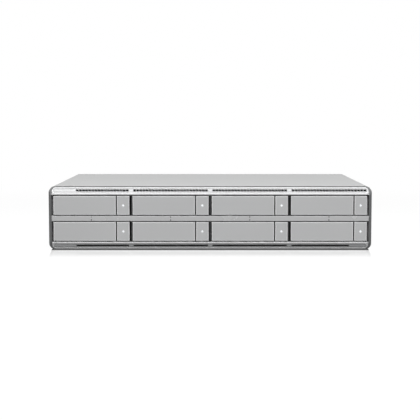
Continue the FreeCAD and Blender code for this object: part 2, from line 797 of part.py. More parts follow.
def power_inlet():
    """A three-pin appliance inlet, its mouth at y = 0."""
    half = "-inlet_height / 2"
    flange = rounded_block("inlet_flange_block", "inlet_width + 2 * inlet_flange",
                           "inlet_height + 2 * inlet_flange", "inlet_flange", "inlet_flange_wall",
                           ("0", "-inlet_flange_wall", f"{half} - inlet_flange"))
    body = box("inlet_body", ("inlet_width", "inlet_depth", "inlet_height"),
               ("-inlet_width / 2", "-inlet_depth - inlet_flange_wall", half))
    socket = box("inlet_socket",
                 ("inlet_width - 2 * inlet_wall", "2 * inlet_socket_depth",
                  "inlet_height - 2 * inlet_wall"),
                 ("inlet_wall - inlet_width / 2", "-inlet_socket_depth", f"{half} + inlet_wall"))
    shell = cut("inlet_shell", fuse("inlet_block", flange, body), socket)
    pins = [box(f"inlet_pin_{pin}", ("pin_width", "pin_length + inlet_wall / 2", "pin_height"),
                (f"{pin} * pin_spread - pin_width / 2", "-inlet_socket_depth - inlet_wall / 2",
                 f"({abs(pin)} * -2 + 1) * pin_drop - pin_height / 2"))
            for pin in (-1, 0, 1)]
    finish(fuse("inlet", shell, *pins), "power_inlet",
           ("inlet_x", "rear_y + rear_wall + inlet_flange_wall", "inlet_z"))


def fan_frame():
    """One fan's frame, from its front face at y = 0, with the motor's base and shaft."""
    square = box("fan_square", ("fan_size", "fan_depth", "fan_size"),
                 ("-fan_size / 2", "0", "-fan_size / 2"))
    corners = prism("fan_corners", 4, "fan_size - fan_corner", "fan_depth", ("0", "0", "0"), "y")
    block = common("fan_block", square, corners)
    bore = prism("fan_bore_tool", HUB_SIDES, "fan_bore", "3 * fan_depth", ("0", "-fan_depth", "0"), "y")
    motor = prism("motor_disc", HUB_SIDES, "hub_radius - hub_gap", "motor_wall",
                  ("0", "fan_depth - motor_wall", "0"), "y")
    shaft = prism("motor_shaft", PIN_SIDES, "shaft_radius", "shaft_length + hub_gap + motor_wall / 2",
                  ("0", "fan_depth - motor_wall - hub_gap - shaft_length", "0"), "y")
    span = "2 * fan_bore + fan_wall"
    upright = box("spoke_upright", ("spoke_width", "motor_wall - hub_gap", span),
                  ("-spoke_width / 2", "fan_depth - motor_wall + hub_gap", f"-({span}) / 2"))
    level = box("spoke_level", (span, "motor_wall - hub_gap", "spoke_width"),
                (f"-({span}) / 2", "fan_depth - motor_wall + hub_gap", "-spoke_width / 2"))
    return fuse("fan_frame", cut("fan_ring", block, bore), motor, shaft, upright, level)


def fan_blade():
    """One tapering blade along X, its chord pitched from the disc's plane."""
    blade = doc.addObject("Part::Wedge", "blade")
    tip = "sqrt((fan_bore - blade_gap) ^ 2 - (blade_tip_chord / 2) ^ 2)"
    bind(blade, Ymin="hub_radius - blade_wall", Ymax=tip)
    for end, chord in (("", "blade_root_chord"), ("2", "blade_tip_chord")):
        bind(blade, **{f"X{end}min": "-blade_wall / 2", f"X{end}max": "blade_wall / 2"})
        bind(blade, **{f"Z{end}min": f"-{chord} / 2", f"Z{end}max": f"{chord} / 2"})
    angle = math.radians(number("blade_pitch"))
    through = FreeCAD.Vector(0, math.cos(angle), -math.sin(angle))
    along = FreeCAD.Vector(0, -math.sin(angle), -math.cos(angle))
    turn = FreeCAD.Rotation(through, FreeCAD.Vector(1, 0, 0), along, "YXZ")
    return place(blade, ("0", "hub_length / 2", "0"), turn)


def fan_rotor():
    """Hub and pitched blades, from the hub's front face at y = 0."""
    hub = prism("rotor_hub", HUB_SIDES, "hub_radius", "hub_length", ("0", "0", "0"), "y")
    bore = clear_bore("rotor_bore", "shaft_radius + shaft_clearance", "shaft_length + 2 * hub_gap",
                      ("0", "hub_length - shaft_length - hub_gap", "0"), "y")
    blade = fan_blade()
    blades = [copy(f"blade_{turn}", blade, ("0", "0", "0"), about(0, 1, 0, turn * 360 / BLADES))
              for turn in range(BLADES)]
    return fuse("rotor", cut("hub", hub, bore), *blades)


def fans():
    frame = fan_frame()
    frames = [copy(f"frame_{side + 1}", frame, fan_place(side)) for side in (-1, 1)]
    finish(group("frames", *frames), "fan_frames")
    rotor = fan_rotor()
    for side, label in ((-1, "fan_left_rotor"), (1, "fan_right_rotor")):
        x, y, z = fan_place(side)
        start = f"{y} + fan_depth - motor_wall - hub_gap - hub_length"
        finish(group(f"rotor_{side + 1}", rotor), label, (x, start, z))


def sled():
    """The tray's folded carrier: floor, sides, bulkhead, runners, hinge ears, button guide."""
    run = "(drive_end - plug_recess - bulkhead_y)"
    floor = box("sled_sheet", ("face_width", run, "sled_floor"), ("0", "bulkhead_y", "sled_bottom"))
    across = "(face_width - 2 * sled_margin - sled_web) / 2"
    openings = [box(f"sled_opening_{side}", (across, f"{run} - 2 * sled_margin", "3 * sled_floor"),
                    (f"sled_margin + {side} * ({across} + sled_web)", "bulkhead_y + sled_margin",
                     "sled_bottom - sled_floor"))
                for side in range(2)]
    bulkhead = box("sled_bulkhead",
                   ("face_width", "bulkhead_wall", "sled_floor + drive_height"),
                   ("0", "bulkhead_y", "sled_bottom"))
    slots = [box(f"bulkhead_slot_{slot}",
                 ("sled_margin / 2", "4 * bulkhead_wall", "face_height - sled_margin"),
                 (f"sled_margin + hinge_in + {2 * slot} * sled_margin",
                  "bulkhead_y - bulkhead_wall", "sled_margin / 2"))
             for slot in range(2)]
    sides = []
    for side, x, rail in (("left", "0", "-runner_proud"),
                          ("right", "face_width - sled_wall", "face_width - sled_wall")):
        sides.append(box(f"{side}_side", ("sled_wall", run, "sled_side"),
                         (x, "bulkhead_y", "sled_bottom")))
        sides.append(box(f"{side}_runner",
                         ("runner_proud + sled_wall", f"{run} - 2 * sled_margin", "runner_height"),
                         (rail, "bulkhead_y + sled_margin", "runner_up")))
    ears = []
    bores = []
    for end, z in (("low", "flange_wall + ear_gap"),
                   ("high", "face_height - flange_wall - ear_gap - ear_wall")):
        ears.append(box(f"{end}_ear_arm",
                        ("2 * ear_radius", "bulkhead_y - hinge_back + bulkhead_wall / 2", "ear_wall"),
                        ("hinge_in - ear_radius", "hinge_back", z)))
        ears.append(prism(f"{end}_ear_nose", 8, "ear_radius", "ear_wall",
                          ("hinge_in", "hinge_back", z)))
        bores.append(clear_bore(f"{end}_ear_bore", "pivot_radius + pivot_clearance", "3 * ear_wall",
                                ("hinge_in", "hinge_back", f"{z} - ear_wall")))
    start = "cap_wall + button_travel + guide_gap"
    guide = box("button_guide",
                ("button_width - 2 * (cap_wall + guide_gap)",
                 f"bulkhead_y + bulkhead_wall / 2 - ({start})",
                 "face_height - 2 * (cap_wall + guide_gap)"),
                ("button_x + cap_wall + guide_gap", start, "cap_wall + guide_gap"))
    pipe_bore = prism("guide_bore", PIN_SIDES, "pipe_radius + pipe_fit", "2 * bulkhead_y",
                      ("light_x", "0", "face_height / 2"), "y")
    solid = fuse("sled_solid", floor, bulkhead, *sides, *ears, guide)
    return cut("sled", solid, *openings, *slots, *bores, pipe_bore)


def lever():
    """The swing-out handle: a bevelled face with flanges, ribs, pivots and a catch."""
    plate = bevelled_plate("lever_face", ("lever_width", "lever_plate", "face_height"),
                           ("0", "0", "0"))
    pieces = [plate]
    for end, z, pivot in (("low", "0", "flange_wall / 2"),
                          ("high", "face_height - flange_wall",
                           "face_height - flange_wall / 2 - ear_gap - ear_wall - flange_wall / 2")):
        pieces += [
            box(f"{end}_flange", ("lever_width - hinge_in", "lever_depth - face_bevel", "flange_wall"),
                ("hinge_in", "face_bevel", z)),
            box(f"{end}_tail", ("hinge_in", "lever_tail_depth - face_bevel", "flange_wall"),
                ("0", "face_bevel", z)),
            prism(f"{end}_knuckle", 8, "knuckle_radius", "flange_wall", ("hinge_in", "hinge_back", z)),
            prism(f"{end}_pivot", PIN_SIDES, "pivot_radius", "flange_wall + ear_gap + ear_wall",
                  ("hinge_in", "hinge_back", pivot)),
        ]
    pieces.append(box("lever_end", ("flange_wall", "lever_depth - face_bevel", "face_height"),
                      ("lever_width - flange_wall", "face_bevel", "0")))
    for rib in range(1, 3):
        pieces.append(box(f"lever_rib_{rib}", ("lever_rib", "lever_rib_depth", "face_height - flange_wall"),
                          (f"hinge_in + {rib} * (lever_width - hinge_in) / 3", "lever_plate / 2",
                           "flange_wall / 2")))
    pieces.append(box("lever_catch", ("catch_width", "catch_length + lever_depth / 2", "catch_height"),
                      ("lever_width - catch_width", "lever_depth / 2",
                       "(face_height - catch_height) / 2")))
    return fuse("lever", *pieces)


def button():
    """The release button: a cap over the sled's guide, with a hole for the light."""
    cap = bevelled_plate("button_cap", ("button_width", "lever_depth", "face_height"),
                         ("button_x", "0", "0"))
    hollow = box("button_hollow",
                 ("button_width - 2 * cap_wall", "lever_depth", "face_height - 2 * cap_wall"),
                 ("button_x + cap_wall", "cap_wall", "cap_wall"))
    hole = prism("button_hole", PIN_SIDES, "pipe_radius + pipe_clearance", "lever_depth",
                 ("light_x", "-lever_depth / 2", "face_height / 2"), "y")
    return cut("button", cap, hollow, hole)


def light_pipe():
    return prism("pipe", PIN_SIDES, "pipe_radius", "bulkhead_y + bulkhead_wall",
                 ("light_x", "0", "face_height / 2"), "y")


def drive():
    """A 3.5 inch disk drive: casting, stamped lid, spindle boss and plug recess."""
    start = ("drive_x", "drive_y", "drive_bottom")
    low = "drive_height - lid_rise"
    casting = box("drive_casting", ("drive_width", "drive_length", low), start)
    lid = box("drive_lid",
              ("drive_width - 2 * lid_inset", "drive_length - 2 * lid_inset", "lid_rise - spindle_rise"),
              ("drive_x + lid_inset", "drive_y + lid_inset", f"drive_bottom + {low}"))
    boss = prism("drive_boss", BOSS_SIDES, "spindle_radius", "spindle_rise",
                 ("drive_x + drive_width / 2", "drive_y + drive_width / 2",
                  "drive_bottom + drive_height - spindle_rise"))
    recess = box("drive_recess",
                 ("plug_width + 2 * plug_play", "2 * plug_recess", "plug_height + 2 * plug_play"),
                 ("drive_x + plug_in - plug_play", "drive_end - plug_recess", "drive_bottom"))
    return cut("drive", fuse("drive_solid", casting, lid, boss), recess)


def trays():
    """Eight trays, numbered along the upper row and then along the lower one."""
    masters = {"sled": sled(), "lever": lever(), "button": button(), "light_pipe": light_pipe(),
               "drive": drive()}
    for number_on_front in range(1, ROWS * COLUMNS + 1):
        row = ROWS - 1 - (number_on_front - 1) // COLUMNS
        column = (number_on_front - 1) % COLUMNS
        at = (f"{column_x(column)} - face_width / 2", "0", row_z(row))
        for piece, master in masters.items():
            label = f"tray_{number_on_front}_{piece}"
            finish(group(f"{label}_set", master), label, at)


def build():
    fill_sheets()
    doc.recompute()
    slopes = slope_tools()
    front_rim(slopes)
    front_fascia(slopes)
    upper_vent_band()
    lower_vent_band()
    shell = case_shell()
    top_cover(shell)
    chassis_base(shell)
    rear_panel()
    cage_dividers()
    bay_shelves()
    backplane()
    drive_connectors()
    main_board()
    heat_sink()
    network_jack()
    fibre_cage()
    power_supply()
    power_inlet()
    fans()
    trays()
    doc.recompute()


def write_parts():
    for item in doc.Objects:
        if "Invalid" in item.State or "Error" in item.State:
            raise RuntimeError(f"{item.Name} can't be built: {item.State}")
    os.makedirs("parts", exist_ok=True)
    for item in sub_parts:
        if item.Shape.isNull() or not item.Shape.isValid() or not item.Shape.Solids:
            raise RuntimeError(f"{item.Label} has no valid solid")
        item.Shape.exportStep(f"parts/{item.Label}.step")


build()
write_parts()
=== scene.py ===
import json
import math

import bpy
from mathutils import Matrix, Vector


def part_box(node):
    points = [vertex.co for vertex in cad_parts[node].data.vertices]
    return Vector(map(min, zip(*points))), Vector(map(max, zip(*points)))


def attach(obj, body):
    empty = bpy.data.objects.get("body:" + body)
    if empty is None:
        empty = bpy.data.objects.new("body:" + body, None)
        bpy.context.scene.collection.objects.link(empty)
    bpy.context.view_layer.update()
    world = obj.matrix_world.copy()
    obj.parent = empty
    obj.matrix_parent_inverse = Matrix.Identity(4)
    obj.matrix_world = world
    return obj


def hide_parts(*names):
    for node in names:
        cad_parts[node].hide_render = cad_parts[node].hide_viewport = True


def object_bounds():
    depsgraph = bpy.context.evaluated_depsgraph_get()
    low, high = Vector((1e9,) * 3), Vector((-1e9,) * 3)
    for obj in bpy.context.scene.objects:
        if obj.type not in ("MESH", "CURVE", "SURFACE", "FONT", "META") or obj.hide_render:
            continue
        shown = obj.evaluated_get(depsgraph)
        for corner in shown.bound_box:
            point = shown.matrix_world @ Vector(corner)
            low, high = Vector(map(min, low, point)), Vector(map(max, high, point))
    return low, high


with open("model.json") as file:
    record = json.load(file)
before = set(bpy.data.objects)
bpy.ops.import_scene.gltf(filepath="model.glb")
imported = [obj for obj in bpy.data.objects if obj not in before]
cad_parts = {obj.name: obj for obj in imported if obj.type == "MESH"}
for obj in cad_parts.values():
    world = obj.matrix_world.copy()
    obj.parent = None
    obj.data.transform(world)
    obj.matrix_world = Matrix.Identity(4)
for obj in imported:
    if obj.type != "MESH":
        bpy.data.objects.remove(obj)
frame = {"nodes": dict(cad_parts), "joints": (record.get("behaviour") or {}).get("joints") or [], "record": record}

bl_info = {
    "name": "Video recorder looks",
    "version": (1, 0, 0),
    "blender": (4, 5, 0),
    "location": "3D View > Sidebar > Recorder",
    "description": "Finishes, small fittings and stage for a two-unit rack video recorder",
    "category": "Object",
}

NODES = frame["nodes"]
CAD_LOW, CAD_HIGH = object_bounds()
FRONT = CAD_LOW.y
COLUMNS = 4
ROWS = 2
TRAYS = range(1, ROWS * COLUMNS + 1)
FANS = ("left", "right")
CONTACTS = 8
FORWARDS = Vector((0.0, -1.0, 0.0))
BACKWARDS = Vector((0.0, 1.0, 0.0))
UPWARDS = Vector((0.0, 0.0, 1.0))
FILM_WIDTH_MM = 36.0

# The turn that brings what faces up to face the front
UP_TO_FRONT = (math.pi / 2, 0.0, 0.0)

# Edges that bend less than this are shaded smooth
SMOOTH_ANGLE = math.radians(35)

# How metallic the silver paints and the platings are
SILVER = 0.22
PLATED = 0.9

# The tone of plain white
WHITE = 1.0

# Numbers of a Mix node's sockets when it mixes colours
MIX_FIRST = 6
MIX_SECOND = 7
MIX_RESULT = 2


def slot_nodes():
    """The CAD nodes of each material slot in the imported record."""
    found = {}
    for part in frame["record"]["subparts"]:
        found.setdefault(part["material_slot"], []).append(part["node"])
    return found


def middle(node):
    """The middle of a CAD node's box."""
    low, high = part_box(node)
    return (low + high) / 2


def rail_height():
    """Height of the middle of the rail between the two rows of trays."""
    return (middle("tray_1_lever").z + middle("tray_5_lever").z) / 2


def fan_hub(fan):
    """The point that a fan turns about."""
    for joint in frame["joints"]:
        if joint["child"] == f"fan_{fan}":
            return Vector(joint["pos_m"])
    raise RuntimeError(f"the frame has no joint for the {fan} fan")


def colour(name, description, default):
    """A colour that a user may change."""
    return bpy.props.FloatVectorProperty(name=name, description=description, default=default,
                                         subtype="COLOR", size=3, min=0.0, max=1.0)


def share(name, description, default):
    """A number from 0 to 1 that a user may change."""
    return bpy.props.FloatProperty(name=name, description=description, default=default,
                                   min=0.0, max=1.0)


def length(name, description, default):
    """A length in metres that a user may change."""
    return bpy.props.FloatProperty(name=name, description=description, default=default,
                                   unit="LENGTH", min=0.0, precision=5)


def power(name, description, default):
    """A lamp's power in watts that a user may change."""
    return bpy.props.FloatProperty(name=name, description=description, default=default,
                                   unit="POWER", min=0.0)


def place(name, description, default):
    """A point in metres that a user may change."""
    return bpy.props.FloatVectorProperty(name=name, description=description, default=default,
                                         subtype="TRANSLATION", size=3)


class RecorderFinish(bpy.types.PropertyGroup):
    """Colours of the finishes."""

    cover_paint: colour("Cover paint", "Powder coat of the sheet metal case", (0.55, 0.555, 0.555))
    fascia_silver: colour("Fascia silver", "Silver of the strips and the rail", (0.52, 0.524, 0.528))
    band_light: colour("Upper band", "Silver of the band with small slots", (0.48, 0.485, 0.49))
    # Painted shade: the lower band's grey is darker than the upper band's, partly for the shade on its downward
    # slope
    band_grey: colour("Lower band", "Grey of the band with long slots, darkened with painted shade", (0.36, 0.365, 0.37))
    tray_silver: colour("Tray silver", "Silver of the levers and buttons", (0.52, 0.524, 0.528))
    # Painted shade: the rim's dark grey, paler along its edges
    rim_grey: colour("Rim painted shade", "Painted shade: dark grey of the rim's front", (0.108, 0.11, 0.112))
    rim_edge: colour("Rim shade edges", "Paler grey of the painted shade on the rim's edges", (0.2, 0.2, 0.205))
    # Painted highlight: a paler silver along the trays' edges
    edge_bright: colour("Tray edge highlight", "Tray edges that handling has rubbed", (0.89, 0.89, 0.895))
    # Painted highlight: a paler silver along the fascia's edges
    edge_soft: colour("Fascia edge highlight", "Painted highlight along the strips and the rail", (0.7, 0.7, 0.71))
    # A darker grey along the edges of the bands' slots
    edge_thin: colour("Dark slot edges", "Dark grey along the slots' edges", (0.1, 0.1, 0.102))
    sled_black: colour("Sled black", "Paint of the tray carriers", (0.018, 0.018, 0.02))
    drive_metal: colour("Drive metal", "Casting of the drives", (0.42, 0.43, 0.44))
    cage_zinc: colour("Cage zinc", "Plated sheet of the drive cage", (0.12, 0.122, 0.125))
    board_green: colour("Board green", "Solder mask of the circuit boards", (0.012, 0.09, 0.035))
    # Also the black of the front parts' gaps and recesses, partly bare moulding and partly painted shade
    moulding_black: colour("Moulding black", "Moulded plastic of fans and inlet, and painted shade in the gaps", (0.014, 0.014, 0.015))
    plated_metal: colour("Plated metal", "Plating of ports, supply and pins", (0.52, 0.52, 0.53))
    contact_gold: colour("Contact gold", "Plating of the network socket's contacts", (0.83, 0.56, 0.2))
    screw_dark: colour("Dark screws", "Blackened plating of the lid screws", (0.16, 0.16, 0.165))
    ink: colour("Ink", "Printed bay numbers", (0.02, 0.02, 0.022))
    pipe_clear: colour("Light pipe", "Clear moulding of the light pipes", (0.8, 0.82, 0.85))
    status_light: colour("Status light", "Light of the trays' lamps", (0.92, 0.96, 1.0))
    status_glow: share("Status glow", "Strength of the trays' lamps", 0.85)


class RecorderSpray(bpy.types.PropertyGroup):
    """How far spray, the edge tones that are mostly painted highlight, roundings and glow reach; past the spray
    most finishes show black, partly bare moulding and partly painted shade.
    """

    land: length("Land", "Half the height of a strip's flat beside the trays", 0.0028)
    # These roundings also set how wide the fascia's painted edge highlight is
    land_rounding: length("Land rounding", "Rounding of the fascia's edges at that flat", 0.0034)
    fascia_rounding: length("Fascia rounding", "Rounding of the fascia's other edges", 0.0009)
    tray_rub: length("Tray rub", "How far the trays' bright edges reach", 0.0024)
    slot_rub: length("Slot edge reach", "How far the dark grey round a slot reaches", 0.0006)
    rim_rub: length("Rim shade edge reach", "How far the rim's paler edges reach", 0.0006)
    wrap: length("Wrap", "How far the spray goes round an edge", 0.0003)
    rim_wrap: length("Rim wrap", "How far the rim's painted shade goes round its edge", 0.0075)
    # Past these depths the fascia, bands and trays show black, partly painted shade, and the rim shows the cover
    # paint
    deepest: length("Deepest", "How far back a face may lie and still be sprayed", 0.0046)
    fascia_deepest: length("Fascia deepest", "The same on the fascia's sloping strips", 0.0085)
    shield_lip: length("Shield lip", "Plated edge at the network socket's mouth", 0.0004)
    glow_start: length("Glow start", "Front to where a light pipe starts to glow", 0.0016)
    glow_full: length("Glow full", "Front to where it glows in full", 0.0004)


class RecorderFittings(bpy.types.PropertyGroup):
    """Sizes of the small fittings."""

    number_height: length("Number height", "Height of a bay number", 0.002)
    number_spread: length("Number spread", "Upper to lower bay number", 0.0041)
    ink_thickness: length("Ink thickness", "Thickness of the print, half of it proud", 0.00004)
    ink_spread: length("Ink spread", "How much bolder than the plain letterform", 0.00016)
    pipe_sides: bpy.props.IntProperty(name="Pipe sides", description="Facets round a light pipe",
                                      default=24, min=8)
    pipe_round: length("Pipe rounding", "Rounding of a light pipe's front end", 0.0005)
    screw_radius: length("Screw radius", "Radius of a case screw's head", 0.0028)
    screw_height: length("Screw height", "Height of a case screw's head", 0.0009)
    fan_screw_spacing: length("Fan screw spacing", "Between the screws of a fan", 0.0715)
    skirt_screw_margin: length("Skirt screw margin", "Cover end to its first screw", 0.030)
    lid_screw_radius: length("Lid screw radius", "Radius of a lid screw's head", 0.0021)
    lid_screw_height: length("Lid screw height", "Height of a lid screw's head", 0.0006)
    lid_screw_margin: length("Lid screw margin", "Drive edge to a lid screw", 0.0065)
    lid_drop: length("Lid drop", "Top of a drive down to its lid", 0.0008)
    contact_pitch: length("Contact pitch", "Between contacts of the network socket", 0.00102)
    contact_width: length("Contact width", "Width of a contact", 0.00045)
    contact_thickness: length("Contact thickness", "Thickness of a contact", 0.000315)
    contact_wall: length("Contact wall", "Socket's roof above the contacts", 0.001)
    contact_depth: length("Contact depth", "Socket's mouth to the contacts' outer flat", 0.003)
    contact_flat: length("Contact flat", "Length of a contact's flat at either end", 0.0012)
    contact_slope: length("Contact slope", "Length of the slope between the flats", 0.0055)
    contact_fall: length("Contact fall", "How far the slope comes down", 0.0028)
    contact_tip_fall: length("Contact tip fall", "How far the inner flat comes down", 0.0002)
    pin_width: length("Pin width", "Width of an inlet pin", 0.002)
    pin_height: length("Pin height", "Height of an inlet pin", 0.004)
    pin_length: length("Pin length", "How far an inlet pin stands out", 0.010)
    pin_depth: length("Pin depth", "Inlet's mouth to the foot of its pins", 0.0165)
    pin_spread: length("Pin spread", "Middle pin to an outer pin", 0.007)
    pin_drop: length("Pin drop", "Middle of the inlet to a pin's height", 0.002)
    plating: length("Plating", "Thickness of the metal over an inlet pin", 0.00005)


class RecorderStage(bpy.types.PropertyGroup):
    """Camera, lamps and floor."""

    lens: bpy.props.FloatProperty(name="Lens", description="Focal length on a 36 mm frame",
                                  default=96.0, unit="CAMERA", min=10.0)
    camera_distance: length("Camera distance", "Camera to the front plane, level", 1.529)
    camera_height: length("Camera height", "Camera above the floor", 0.191)
    camera_side: bpy.props.FloatProperty(name="Camera side", default=-0.00027, unit="LENGTH",
                                         description="Camera to the right of the middle", precision=5)
    camera_pitch: bpy.props.FloatProperty(name="Camera pitch", description="Downward tilt",
                                          default=math.radians(5.084), subtype="ANGLE")
    key_power: power("Key power", "Large lamp above the front", 35.0)
    key_place: place("Key place", "Where the large lamp hangs", (0.0, -1.16, 1.78))
    key_width: length("Key width", "Width of the large lamp", 2.4)
    key_height: length("Key height", "Height of the large lamp", 1.2)
    fill_power: power("Fill power", "Long lamp above the camera", 15.0)
    fill_place: place("Fill place", "Where the long lamp hangs", (0.0, -1.9, 1.22))
    fill_width: length("Fill width", "Width of the long lamp", 2.2)
    fill_height: length("Fill height", "Height of the long lamp", 0.4)
    back_power: power("Back power", "Each lamp behind, as low as the case", 12.0)
    back_side: length("Back side", "Middle to a lamp behind, sideways", 1.5)
    back_distance: length("Back distance", "Middle to a lamp behind, backwards", 1.2)
    back_width: length("Back width", "Width of a lamp behind", 1.4)
    sky: bpy.props.FloatProperty(name="Sky", description="Even light from all round",
                                 default=0.12, min=0.0)
    floor_size: length("Floor size", "Side of the floor", 40.0)
    floor_tone: share("Floor tone", "How much light the floor throws back", 0.14)
    floor_glow: share("Floor glow", "White the floor has of its own in the picture", 0.84)
    floor_shade: share("Floor shade", "How much of the shadow the floor shows", 0.25)
    shade_reach: length("Shade reach", "Middle to where the shadow starts to fade", 0.4)
    shade_end: length("Shade end", "Middle to where the floor is plain white", 1.2)
    reflection: share("Reflection", "Strength of the reflection at the object's foot", 0.38)
    reflection_reach: length("Reflection reach", "How far from the object it fades out", 0.12)
    reflection_blur: share("Reflection blur", "How dull the floor's polish is", 0.06)
    contact: share("Contact", "Strength of the reflection right at the contact line", 1.0)
    contact_reach: length("Contact reach", "How far from the object the contact line fades out", 0.008)


def grey(tone):
    """A grey of a tone, as a socket takes it."""
    return (tone, tone, tone, 1.0)


def opaque(tint):
    """A colour as a socket takes it."""
    return (*tint, 1.0)


def feed(tree, value, socket):
    """Link another node's output to a socket, or set a plain value on it."""
    if isinstance(value, bpy.types.NodeSocket):
        tree.links.new(value, socket)
    else:
        socket.default_value = value


def add_node(tree, kind, **values):
    """A node with its properties set, and a socket fed where a name is no property."""
    node = tree.nodes.new(f"ShaderNode{kind}")
    for name, value in values.items():
        if hasattr(node, name):
            setattr(node, name, value)
        else:
            feed(tree, value, node.inputs[name.replace("_", " ").title()])
    return node


def worked_out(tree, operation, *values):
    """The result of one step of arithmetic on numbers or other nodes' outputs."""
    node = add_node(tree, "Math", operation=operation)
    for value, socket in zip(values, node.inputs):
        feed(tree, value, socket)
    return node.outputs[0]


def on_vectors(tree, operation, *values):
    """The result of one step on vectors: a number for a length or a dot product."""
    node = add_node(tree, "VectorMath", operation=operation)
    for value, socket in zip(values, node.inputs):
        feed(tree, value, socket)
    result = "Value" if operation in ("LENGTH", "DOT_PRODUCT") else "Vector"
    return node.outputs[result]


def mapped(tree, value, start, end, low=0.0, high=1.0, interpolation="LINEAR"):
    """A value stretched so that start gives low and end gives high, and held beyond them."""
    node = add_node(tree, "MapRange", interpolation_type=interpolation, value=value,
                    from_min=start, from_max=end, to_min=low, to_max=high)
    return node.outputs["Result"]


def own_point(tree):
    """Where a point of the surface lies, at rest, in the frame that all pieces share."""
    return add_node(tree, "TexCoord").outputs["Object"]


def split(tree, vector):
    """The X, Y and Z of a vector."""
    return add_node(tree, "SeparateXYZ", vector=vector).outputs


def node_group(name, inputs, outputs):
    """An empty shader node group, the values given to it and the sockets it puts out."""
    group = bpy.data.node_groups.new(name, "ShaderNodeTree")
    for title, default in inputs.items():
        socket = group.interface.new_socket(title, in_out="INPUT", socket_type="NodeSocketFloat")
        socket.default_value = default
    for title, kind in outputs.items():
        group.interface.new_socket(title, in_out="OUTPUT", socket_type=f"NodeSocket{kind}")
    given = group.nodes.new("NodeGroupInput")
    made = group.nodes.new("NodeGroupOutput")
    return group, given.outputs, made.inputs


def grain_group():
    """Fine orange-peel of a sprayed or moulded surface: a height and a tone about 1."""
    group, given, made = node_group("sprayed grain", {"Grains per metre": 1500.0, "Tone spread": 0.04},
                                    {"Height": "Float", "Tone": "Float"})
    point = own_point(group)
    fine = add_node(group, "TexNoise", vector=point, scale=given["Grains per metre"], detail=3.0,
                    roughness=0.6).outputs["Fac"]
    broad = add_node(group, "TexNoise", vector=point, scale=9.0, detail=2.0).outputs["Fac"]
    both = worked_out(group, "ADD", fine, broad)
    darkest = worked_out(group, "SUBTRACT", 1.0, given["Tone spread"])
    feed(group, fine, made["Height"])
    feed(group, worked_out(group, "MULTIPLY_ADD", both, given["Tone spread"], darkest), made["Tone"])


def handling_group():
    """Soft smudges and wipe marks that change how dull a surface is."""
    group, given, made = node_group("handling", {"Dullness": 0.4, "Spread": 0.12},
                                    {"Roughness": "Float"})
    smudge = add_node(group, "TexNoise", vector=own_point(group), scale=22.0, detail=5.0, roughness=0.62)
    about_zero = worked_out(group, "SUBTRACT", smudge.outputs["Fac"], 0.5)
    dull = worked_out(group, "MULTIPLY_ADD", about_zero, given["Spread"], given["Dullness"])
    feed(group, dull, made["Roughness"])


def rubbed_edge_group():
    """A mask of the edges, where a finish takes another tone, mostly a painted highlight, and a normal that rounds
    them off.
    """
    group, given, made = node_group("rubbed edge", {"Reach": 0.0014},
                                    {"Mask": "Float", "Normal": "Vector"})
    rounded = add_node(group, "Bevel", samples=6, radius=given["Reach"]).outputs["Normal"]
    flat = add_node(group, "NewGeometry").outputs["True Normal"]
    agreement = on_vectors(group, "DOT_PRODUCT", rounded, flat)
    feed(group, mapped(group, agreement, start=1.0, end=0.9), made["Mask"])
    feed(group, rounded, made["Normal"])


def paint_reach_group():
    """A mask of where spray reached: faces turned to the front, and a little way round the edges; past it the
    front parts show black, partly bare moulding and partly painted shade.
    """
    group, given, made = node_group("paint reach", {"Wrap": 0.0003, "Deepest": 0.0046},
                                    {"Mask": "Float"})
    half_forwards = -0.5
    surface = add_node(group, "NewGeometry").outputs["True Normal"]
    facing = add_node(group, "VectorTransform", vector_type="NORMAL", convert_from="WORLD",
                      convert_to="OBJECT", vector=surface).outputs["Vector"]
    depth = worked_out(group, "SUBTRACT", split(group, own_point(group))["Y"], FRONT)
    to_front = worked_out(group, "LESS_THAN", split(group, facing)["Y"], half_forwards)
    shallow = worked_out(group, "LESS_THAN", depth, given["Deepest"])
    lip = worked_out(group, "LESS_THAN", depth, given["Wrap"])
    face = worked_out(group, "MULTIPLY", to_front, shallow)
    feed(group, worked_out(group, "MAXIMUM", face, lip), made["Mask"])


